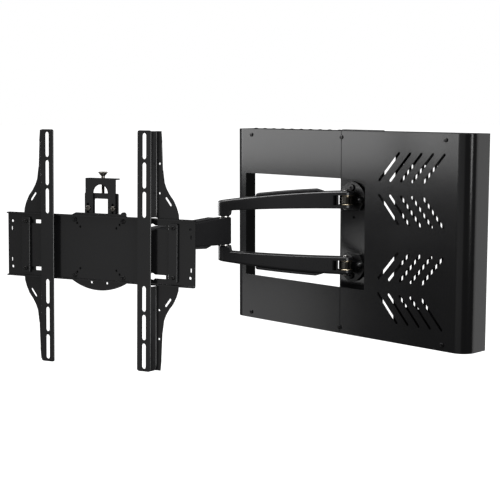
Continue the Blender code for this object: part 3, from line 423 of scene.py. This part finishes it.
def blackened_steel():
    """Black oxide over turned steel: a dark metal with rubbed lighter patches."""
    oxide = Finish("black oxide steel", Metallic=0.85, Specular_IOR_Level=0.5)
    rub = oxide.noise(420, 4.0, 0.6)
    rubbed = rub.between(0.4, 0.75)
    oxide.drive("Base Color", oxide.blend(rubbed, (0.018, 0.018, 0.020), (0.075, 0.073, 0.070)))
    oxide.drive("Roughness", 0.26 + rub * 0.22)
    oxide.drive("Normal", oxide.bump(oxide.noise(2600, 2.0), 0.15, 0.00004))
    return oxide.material


OXIDE = blackened_steel()


def frame_of(place, out):
    """A local frame at a place, as rows x, y and z: z points out and x lies level."""
    out = np.array(out, float) / np.linalg.norm(out)
    across = np.cross((0, 0, 1), out)
    if np.linalg.norm(across) < 1e-6:
        across = np.array([1.0, 0, 0])
    across = across / np.linalg.norm(across)
    return np.array(place, float), np.stack([across, np.cross(out, across), out])


def settle(points, seat):
    """Points from a local frame to the mount's frame: origin plus x, y and z times its axes."""
    origin, axes = seat
    return origin + points @ axes


def turning(profile, sides=48, cross=0.0, deep=0.0, knurl=0.0, knurls=40):
    """A turned piece about z: radius and height run down the profile while the angle goes round.
    A cross of a given size and depth is pressed into its end face, and its rim may be knurled."""
    radius, height = np.array(profile, float).T
    turns = np.linspace(0, 2 * np.pi, sides + 1)[:-1]
    angle, index = np.meshgrid(turns, np.arange(len(radius)))
    r, z = radius[index], height[index]
    top = height.max()
    if knurl:
        grip = (r > 0.93 * radius.max()) & (z < top - 1e-5)
        r = r - np.where(grip, knurl * np.abs(np.cos(angle * knurls / 2)) ** 0.6, 0)
    x, y = r * np.cos(angle), r * np.sin(angle)
    if cross:
        arm = np.minimum(np.abs(x), np.abs(y))
        reach = np.maximum(np.abs(x), np.abs(y))
        narrow = np.clip((cross * 0.24 - arm) / (cross * 0.10), 0, 1)
        short = np.clip((cross - reach) / (cross * 0.25), 0, 1)
        z = z - deep * (narrow * short) * (z > top - 1.2 * MM)
    return np.stack([x, y, z], -1)


def pan_head(radius, height):
    """Profile of a pan head: nearly flat across the middle, falling over a round shoulder."""
    t = np.linspace(0, 1, 15)
    face = np.stack([radius * 0.86 * t, height * (1 - 0.10 * t**2)], -1)
    turn = np.linspace(0.25, np.pi / 2, 6)
    shoulder_radius = radius * (0.86 + 0.14 * np.sin(turn))
    shoulder = np.stack([shoulder_radius, height * (0.34 + 0.56 * np.cos(turn))], -1)
    return np.concatenate([face, shoulder, [[radius, 0], [radius * 0.5, 0]]])


def screw_at(name, node, out, body, radius, height, finish=OXIDE):
    """A cross-recessed pan head on the head end of its CAD screw, with a ringed shank."""
    low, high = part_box(node)
    middle = np.array((low + high) / 2)
    out = np.array(out, float)
    along = np.array([v.co for v in frame["nodes"][node].data.vertices]) @ out
    head = middle + out * (along.max() - height - middle @ out)
    seat = frame_of(head, out)
    length = along.max() - height - along.min()
    cap = turning(pan_head(radius, height), 48, cross=radius * 0.55, deep=height * 0.62)
    work = surface(settle(cap, seat))
    shank_radius = radius * 0.48
    turns = np.linspace(0, length, max(int(length / (0.22 * MM)), 4))
    thread = np.stack([shank_radius * (1 - 0.07 * (np.arange(len(turns)) % 2)), -turns], -1)
    thread = np.concatenate([[[0, 0]], thread, [[0, -length]]])
    core = surface(settle(turning(thread, 20), seat))
    return shown(name, joined(work, core), body, finish, [node], 40)


for i in range(1, 7):
    screw = f"cover_screw_{i}"
    screw_at(screw + "_pan_head", screw, (0, -1, 0), "wall_unit", 4 * MM, 2.2 * MM)


# ---- Wall knuckles -----------------------------------------------------------------------------
# Two cast steel knuckles bolt to the column: a leaf-shaped foot, a neck and a bored barrel for
# the wall pin. Painted satin black over a slightly grainy casting, with bronze thrust washers.


def painted_casting():
    """Satin black paint over a sand-cast skin: broad soft dimples and a finer grain."""
    paint = Finish("satin black casting", Specular_IOR_Level=0.5, Coat_Weight=0.12)
    paint.shader.inputs["Coat Roughness"].default_value = 0.25
    grain = paint.noise(700, 5.0, 0.65)
    dimple = paint.noise(110, 2.0)
    cloud = paint.noise(12, 3.0)
    mottle = cloud * 0.6 + grain * 0.4
    paint.drive("Base Color", paint.blend(mottle, (0.006, 0.006, 0.0065), (0.013, 0.013, 0.014)))
    paint.drive("Roughness", 0.20 + cloud * 0.08 + grain * 0.10)
    paint.drive("Normal", paint.bump(grain * 0.5 + dimple, 0.18, 0.00015))
    return paint.material


CAST = painted_casting()


def turned_steel():
    """Bright turned steel: fine rings along the pin, smeared by handling."""
    steel = Finish("bright turned steel", Metallic=1.0)
    rings = steel.noise(900, 2.0)
    smear = steel.noise(60, 4.0, 0.6)
    steel.drive("Base Color", steel.blend(smear, (0.42, 0.41, 0.40), (0.62, 0.61, 0.59)))
    steel.drive("Roughness", 0.18 + smear * 0.16 + rings * 0.06)
    steel.drive("Normal", steel.bump(rings, 0.12, 0.00005))
    return steel.material


def oiled_bronze():
    """Sintered bronze: pale gold-brown metal with dark oily pores."""
    bronze = Finish("oiled bronze", Metallic=1.0)
    pores = bronze.noise(1800, 4.0, 0.7).between(0.35, 0.6)
    bronze.drive("Base Color", bronze.blend(pores, (0.30, 0.24, 0.16), (0.74, 0.64, 0.48)))
    bronze.drive("Roughness", 0.40 - pores * 0.16)
    bronze.drive("Normal", bronze.bump(pores, 0.2, 0.00004))
    return bronze.material


STEEL = turned_steel()
BRONZE = oiled_bronze()
joint = {j["name"]: j for j in frame["joints"]}
wall_pivot = np.array(joint["wall_pivot"]["pos_m"])
for word in ("upper", "lower"):
    knuckle = f"{word}_wall_knuckle"
    casting = softened(knuckle, 0.9 * MM, 30, 3)
    shown(knuckle + "_cast", casting, "wall_unit", CAST, [knuckle])
    bolt = knuckle + "_bolt"
    screw_at(bolt + "_head", bolt, (0, -1, 0), "wall_unit", 6.5 * MM, 3.4 * MM)


def turned_about(name, node, body, axis, profile, finish, slot, sides=64, **more):
    """A turned piece that takes its axis from its CAD solid's middle."""
    low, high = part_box(node)
    work = surface(settle(turning(profile, sides, **more), frame_of((low + high) / 2, axis)))
    return shown(name, work, body, finish, [node], 40)


def ring_profile(bore, outer, thick, ease):
    """A washer's section, carried round: bore, eased rim and both faces."""
    half = thick / 2
    return [
        (bore, half),
        (outer - ease, half),
        (outer, half - ease),
        (outer, ease - half),
        (outer - ease, -half),
        (bore, -half),
        (bore, half),
    ]


for word, side in (("upper", 1), ("lower", -1)):
    node = f"{word}_wall_pin"
    low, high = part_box(node)
    tall = (high.z - low.z) / 2
    pin = [
        (0, tall),
        (4.5 * MM, tall),
        (6.2 * MM, tall - 0.15 * MM),
        (7.4 * MM, tall - 0.6 * MM),
        (8 * MM, tall - 1.2 * MM),
        (8 * MM, tall - 1.6 * MM),
        (5 * MM, tall - 1.6 * MM),
        (5 * MM, 0.6 * MM - tall),
        (4.4 * MM, -tall),
        (0, -tall),
    ]
    turned_about(node + "_turned", node, "wall_unit", (0, 0, side), pin, STEEL, "bright_steel")
    for place in ("outer", "inner"):
        node = f"{word}_{place}_wall_washer"
        ring = ring_profile(5.3 * MM, 13.6 * MM, 2.0 * MM, 0.7 * MM)
        turned_about(node + "_ring", node, "arm", (0, 0, 1), ring, BRONZE, "bronze_washers")


def sleeve_steel():
    """Oiled steel on the barrels: dark warm metal with lighter rubbed bands round it."""
    sleeve = Finish("oiled sleeve steel", Metallic=1.0)
    band = sleeve.noise(260, 3.0, 0.6)
    sleeve.drive("Base Color", sleeve.blend(band, (0.09, 0.083, 0.073), (0.26, 0.245, 0.22)))
    sleeve.drive("Roughness", 0.2 + band * 0.15)
    return sleeve.material


def flank(side):
    """A half-buried ellipsoid beside the neck: its radii run along, out of and up the foot."""
    round_foot = np.linspace(0, 2 * np.pi, 49)[:-1]
    turn, rise = np.meshgrid(round_foot, np.linspace(-np.pi / 2, np.pi / 2, 25))
    middle = np.array([22.5 * MM, wall_pivot[1] + 18.6 * MM, side * 65 * MM])
    radii = np.array([9 * MM, 9 * MM, 7.5 * MM])
    round_it = np.stack([np.cos(rise) * np.cos(turn), np.cos(rise) * np.sin(turn), np.sin(rise)], -1)
    return middle + radii * round_it


SLEEVE = sleeve_steel()
for word, side in (("upper", 1), ("lower", -1)):
    middle = wall_pivot + np.array([0, 0, side * 64.5 * MM])
    band = ring_profile(12.6 * MM, 13.3 * MM, 13.4 * MM, 0.5 * MM)
    work = surface(settle(turning(band, 96), frame_of(middle, (0, 0, 1))))
    shown(f"{word}_barrel_sleeve", work, "wall_unit", SLEEVE, smooth=40)
    shown(f"{word}_knuckle_flank", surface(flank(side)), "wall_unit", CAST)


# ---- Arms --------------------------------------------------------------------------------------
# A matched pair of cast arms, deep at the wall and tapering to the elbow, with all rims well
# rounded. Each forks round its wall knuckle and steps down to a boss at the elbow.


def local_frame(origin, along):
    """A frame with x along an arm, z up and y across it."""
    x = np.array(along, float) / np.linalg.norm(along)
    z = np.array([0, 0, 1], float)
    return np.array(origin, float), np.stack([x, np.cross(z, x), z])


def stadium(length, start_radius, end_radius, straight=(), turn=18):
    """Round-ended outline about a line: centre line points, outward directions and radii."""
    end = np.linspace(-np.pi / 2, np.pi / 2, turn + 1)
    along = np.array(sorted(set(np.linspace(0, length, 40)[1:-1]) | set(straight)))
    x = np.concatenate([np.full(turn + 1, length), along[::-1], np.zeros(turn + 1), along])
    edge = np.full(len(along), np.pi / 2)
    angle = np.concatenate([end, edge, end + np.pi, -edge])
    radius = start_radius + (end_radius - start_radius) * x / length
    return x, np.stack([np.cos(angle), np.sin(angle)], -1), radius


def pressed_bar(outline, top, under, rim_top, rim_under):
    """A bar over an outline: inset and height run from the middle of the top, round the rim, down
    the side, round the lower rim, to the middle below, while the other parameter goes round."""
    x, out, radius = outline
    turn = np.linspace(0, np.pi / 2, 6)
    over = (1, 0.55)
    insets, share, drop = [], [], []
    for fraction in over:
        insets.append(radius * fraction)
        share.append(0)
        drop.append(0)
    for t in turn:
        insets.append(np.full_like(radius, rim_top * (1 - math.sin(t))))
        share.append(0)
        drop.append(rim_top * (1 - math.cos(t)))
    for s in (0.25, 0.5, 0.75):
        insets.append(np.zeros_like(radius))
        share.append(s)
        drop.append(0)
    for t in turn[::-1]:
        insets.append(np.full_like(radius, rim_under * (1 - math.sin(t))))
        share.append(1)
        drop.append(-rim_under * (1 - math.cos(t)))
    for fraction in over[::-1]:
        insets.append(radius * fraction)
        share.append(1)
        drop.append(0)
    inset, share, drop = np.array(insets), np.array(share)[:, None], np.array(drop)[:, None]
    reach = radius - inset
    px = x + out[:, 0] * reach
    py = out[:, 1] * reach
    high, low = top(px), under(px)
    rim_high, rim_low = high - rim_top, low + rim_under
    side = rim_high + (rim_low - rim_high) * share
    pz = np.where(share == 0, high - drop, np.where(share == 1, low - drop, side))
    return np.stack([px, py, pz], -1)


def flipped(points, side):
    """The same points with their heights turned over for the lower one of a pair."""
    return points * np.array([1, 1, side])


def carved(work, *tools):
    """The solid with each tool's space taken out of it."""
    mesh = bpy.data.meshes.new("carving")
    work.to_mesh(mesh)
    work.free()
    body = bpy.data.objects.new("carving", mesh)
    bpy.context.scene.collection.objects.link(body)
    spare = []
    for tool in tools:
        shape = bpy.data.meshes.new("tool")
        tool.to_mesh(shape)
        tool.free()
        cutter = bpy.data.objects.new("tool", shape)
        bpy.context.scene.collection.objects.link(cutter)
        spare.append(cutter)
        change = body.modifiers.new("carve", "BOOLEAN")
        change.operation = "DIFFERENCE"
        change.solver = "EXACT"
        change.object = cutter
    bpy.context.view_layer.update()
    done = bpy.data.meshes.new_from_object(body.evaluated_get(bpy.context.evaluated_depsgraph_get()))
    result = bmesh.new()
    result.from_mesh(done)
    for gone in [body, *spare]:
        bpy.data.objects.remove(gone)
    return result


def crate(low, high):
    """A closed box between two corners, as six squares of a unit cube scaled to size."""
    work = bmesh.new()
    bmesh.ops.create_cube(work, size=1)
    low, high = np.array(low), np.array(high)
    for vertex in work.verts:
        vertex.co = (np.array(vertex.co) + 0.5) * (high - low) + low
    return work


def hole(radius, half, x=0.0):
    """The space of a bore: a plain cylinder about z, a distance along the arm."""
    section = [(0, half), (radius, half), (radius, -half), (0, -half)]
    return surface(turning(section, 40) + np.array([x, 0, 0]))


elbow = np.array(joint["elbow_pivot"]["pos_m"])
swivel = np.array(joint["head_swivel"]["pos_m"])
arm_seat = local_frame(wall_pivot, elbow - wall_pivot)
ARM_RUN = float(np.linalg.norm(elbow - wall_pivot))
ELBOW_HALF = 13.5 * MM
WALL_HALF = 14 * MM
WALL_BORE = 5.3 * MM
ELBOW_BORE = 6.3 * MM
SWIVEL_BORE = 5.3 * MM
WELL_CLEAR = 30 * MM


def rise(x, low, gain, power):
    """Height along an arm from the elbow: low + gain * (1 - (1 - share) ** power)."""
    share = (ARM_RUN - x + ELBOW_HALF) / (ARM_RUN + ELBOW_HALF + WALL_HALF)
    return low + gain * (1 - np.clip(1 - share, 0, 1) ** power)


def arm_top(x):
    return rise(x, 60 * MM, 23 * MM, 1.7)


def arm_under(x):
    """The lower edge, stepping down to the elbow boss over a short fillet."""
    boss = 30.2 * MM
    step = np.clip((x - (ARM_RUN - 14 * MM)) / (3 * MM), 0, 1)
    step = step * step * (3 - 2 * step)
    return rise(x, 39.6 * MM, 8.6 * MM, 2.2) * (1 - step) + boss * step


def seated(work, seat):
    """Moves a finished solid from its local frame to the mount's frame."""
    for vertex in work.verts:
        vertex.co = settle(np.array(vertex.co), seat)
    return work


fillet = np.linspace(ARM_RUN - 15 * MM, ARM_RUN - 9 * MM, 14)
for word, side in (("upper", 1), ("lower", -1)):
    outline = stadium(ARM_RUN, WALL_HALF, ELBOW_HALF, fillet)
    bar = pressed_bar(outline, arm_top, arm_under, 4.6 * MM, 2.0 * MM)
    fork = sorted((side * 54.5 * MM, side * 74.5 * MM))
    slot_space = crate((-WELL_CLEAR, -WELL_CLEAR, fork[0]), (15.8 * MM, WELL_CLEAR, fork[1]))
    recess_near, recess_far = 17.6 * MM, 25.3 * MM
    deep_floor, shallow_floor = 2 * MM, 10 * MM
    blind_end = crate((recess_near, deep_floor, fork[0]), (recess_far, WELL_CLEAR, fork[1]))
    for vertex in blind_end.verts:
        if vertex.co.x > recess_far - MM and vertex.co.y < deep_floor + MM:
            vertex.co.y = shallow_floor
    bores = [hole(WALL_BORE, 120 * MM), hole(ELBOW_BORE, 52 * MM, ARM_RUN)]
    arm = carved(surface(flipped(bar, side)), slot_space, blind_end, *bores)
    shown(f"{word}_arm_cast", seated(arm, arm_seat), "arm", CAST, [f"{word}_arm"], 34)


def moulded_plastic():
    """Black polypropylene with a fine spark-eroded texture."""
    plastic = Finish("textured black plastic", Specular_IOR_Level=0.45)
    leather = plastic.noise(2300, 3.0, 0.6)
    cloud = plastic.noise(30, 3.0)
    plastic.drive("Base Color", plastic.blend(cloud, (0.008, 0.008, 0.0085), (0.014, 0.014, 0.015)))
    plastic.drive("Roughness", 0.38 + leather * 0.16)
    plastic.drive("Normal", plastic.bump(leather, 0.35, 0.00006))
    return plastic.material


PLASTIC = moulded_plastic()


for word in ("upper", "lower"):
    node = f"{word}_arm_cable_cover"
    shown(node + "_clip", softened(node, 1.4 * MM, 12, 3), "arm", PLASTIC, [node], 40)
low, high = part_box("elbow_pin")
pin_half = (high.z - low.z) / 2
pin = [
    (0, pin_half),
    (5.2 * MM, pin_half),
    (6 * MM, pin_half - 0.8 * MM),
    (6 * MM, 0.8 * MM - pin_half),
    (5.2 * MM, -pin_half),
    (0, -pin_half),
]
turned_about("elbow_pin_turned", "elbow_pin", "arm", (0, 0, 1), pin, STEEL, "bright_steel")


# ---- Forearm -----------------------------------------------------------------------------------
# One deep cast bar from the elbow to the swivel, tallest at the elbow, with a clip-on cable
# cover along its top and bottom and steel washers against the arms' bosses.

forearm_seat = local_frame(elbow, swivel - elbow)
FOREARM_RUN = float(np.linalg.norm(swivel - elbow))


def forearm_top(x):
    """Half height: 27 mm at the elbow easing to 20.2 mm over 150 mm by 3s^2 - 2s^3."""
    share = np.clip((x - 12 * MM) / (150 * MM), 0, 1)
    return 27 * MM + (20.2 - 27) * MM * share * share * (3 - 2 * share)


def forearm_under(x):
    return -forearm_top(x)


outline = stadium(FOREARM_RUN, ELBOW_HALF, ELBOW_HALF)
bar = pressed_bar(outline, forearm_top, forearm_under, 3 * MM, 3 * MM)
bores = [hole(ELBOW_BORE, 50 * MM), hole(SWIVEL_BORE, 50 * MM, FOREARM_RUN)]
forearm = carved(surface(bar), *bores)
shown("forearm_cast", seated(forearm, forearm_seat), "forearm", CAST, ["forearm"], 34)
for word in ("upper", "lower"):
    node = f"forearm_{word}_cable_cover"
    shown(node + "_clip", softened(node, 0.8 * MM, 12, 3), "forearm", PLASTIC, [node], 40)
    node = f"{word}_elbow_washer"
    ring = ring_profile(6.3 * MM, 9.4 * MM, 2.6 * MM, 0.5 * MM)
    turned_about(node + "_ring", node, "forearm", (0, 0, 1), ring, STEEL, "bright_steel")


# ---- Swivel yoke -------------------------------------------------------------------------------
# A cast yoke takes the forearm's end between two lugs on the swivel pin and carries the level
# barrel that the head tilts on.

yoke = softened("swivel_yoke", 1.0 * MM, 30, 3)
shown("swivel_yoke_cast", yoke, "swivel_yoke", CAST, ["swivel_yoke"])
low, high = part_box("swivel_pin")
pin_half = (high.z - low.z) / 2
pin = [
    (0, pin_half - 0.3 * MM),
    (3 * MM, pin_half - 0.3 * MM),
    (3.4 * MM, pin_half),
    (7.6 * MM, pin_half),
    (8.6 * MM, pin_half - 0.6 * MM),
    (9 * MM, pin_half - 1.4 * MM),
    (9 * MM, pin_half - 3 * MM),
    (5 * MM, pin_half - 3 * MM),
    (5 * MM, 0.6 * MM - pin_half),
    (4.4 * MM, -pin_half),
    (0, -pin_half),
]
turned_about("swivel_pin_turned", "swivel_pin", "swivel_yoke", (0, 0, 1), pin, OXIDE, "bright_steel")


# ---- Tilt head ---------------------------------------------------------------------------------
# A folded upright with two ears clamps the yoke's barrel on a cross bolt and lock nut. Its two
# lock screws hold the arch-shaped hanger at the chosen height.

tilt_axis = np.array(joint["head_tilt"]["axis"])
lift_axis = np.array(joint["height_adjust"]["axis"])
roll_axis = np.array(joint["roll_level"]["axis"])
coated_sheet("tilt_upright", "_folded", "tilt_head", PRESSED_EDGE)
for word in ("left", "right"):
    screw = f"{word}_lock_screw"
    screw_at(screw + "_pan_head", screw, roll_axis, "tilt_head", 4.8 * MM, 2.6 * MM, SLEEVE)
    ring = ring_profile(4.3 * MM, 10 * MM, 0.6 * MM, 0.15 * MM)
    node = f"{word}_tilt_washer"
    turned_about(node + "_ring", node, "tilt_head", tilt_axis, ring, BRONZE, "bronze_washers")
for node, ending, width in (("tilt_bolt", "_head", 0.4 * MM), ("tilt_nut", "_hex", 0.5 * MM)):
    work = softened(node, width, 30, 3)
    shown(node + ending, work, "tilt_head", OXIDE, [node])


# ---- Height carriage ---------------------------------------------------------------------------
# The arch-shaped hanger slides on the upright and is raised by a knurled thumb screw through its
# top flange. A rivet lets the TV plate roll on it to level the screen.

coated_sheet("arch_hanger", "_pressed", "height_carriage", PRESSED_EDGE)
rivet = softened("roll_rivet", 0.6 * MM, 30, 3)
shown("roll_rivet_head", rivet, "height_carriage", STEEL, ["roll_rivet"])
spacer = softened("roll_spacer", 0.2 * MM, 30, 2)
shown("roll_spacer_ring", spacer, "height_carriage", PLASTIC, ["roll_spacer"])

screw_solid = np.array([v.co for v in frame["nodes"]["thumb_screw"].data.vertices]) @ lift_axis
head_top, foot = screw_solid.max(), screw_solid.min()
turn_place = np.array(joint["thumb_screw_turn"]["pos_m"])
turn_place = turn_place + lift_axis * (head_top - turn_place @ lift_axis)
run = head_top - foot
rim = [(0, 0), (6.4, 0), (7.6, -0.2), (8.2, -0.6), (8.3, -1.0), (8.3, -2.0), (8.0, -2.5)]
neck = [(7.0, -3.0), (6.4, -4.2), (5.4, -5.6), (4.2, -6.5), (3.4, -7.6), (3.4, -11.2)]
grip = [(radius * MM, height * MM) for radius, height in rim + neck]
half_pitch = 0.625 * MM
thread = np.arange(11.3 * MM, run - 0.6 * MM, half_pitch)
grip += [(2.9 * MM - 0.32 * MM * (i % 2), -depth) for i, depth in enumerate(thread)]
grip += [(2.2 * MM, -run), (0, -run)]
thumb = surface(settle(turning(grip, 160, knurl=0.45 * MM, knurls=40), frame_of(turn_place, lift_axis)))
shown("thumb_screw_knurled", thumb, "thumb_screw", SLEEVE, ["thumb_screw"], 35)


# ---- TV plate ----------------------------------------------------------------------------------
# The wide TV plate is folded along its top and bottom and screwed to the shorter roll plate
# behind it, whose lower edge is an arc. Keyhole slots at its ends take the brackets' clamps.

for node in ("tv_plate", "roll_plate"):
    coated_sheet(node, "_folded", "tv_plate", 0.4 * MM, bend=1.4 * MM)
for i in range(1, 5):
    screw = f"plate_screw_{i}"
    screw_at(screw + "_pan_head", screw, roll_axis, "tv_plate", 4.2 * MM, 1.8 * MM)


# ---- TV brackets -------------------------------------------------------------------------------
# Pressed uprights hook round the TV plate and carry three long screw slots above and below it.
# A clamp bar and two screws pinch each one to the plate once it is slid to the TV's width.

for word in ("left", "right"):
    body = f"{word}_bracket"
    coated_sheet(body, "_pressed", body, 0.4 * MM, 30, steps=1, bend=1.5 * MM, cut=0.9 * MM)
    coated_sheet(f"{word}_clamp_bar", "_cut", body, 0.4 * MM, 30, steps=1, cut=1.0 * MM)
    for place in ("top", "bottom"):
        screw = f"{word}_{place}_clamp_screw"
        screw_at(screw + "_pan_head", screw, roll_axis, body, 3.6 * MM, 2.0 * MM)


bpy.context.view_layer.update()
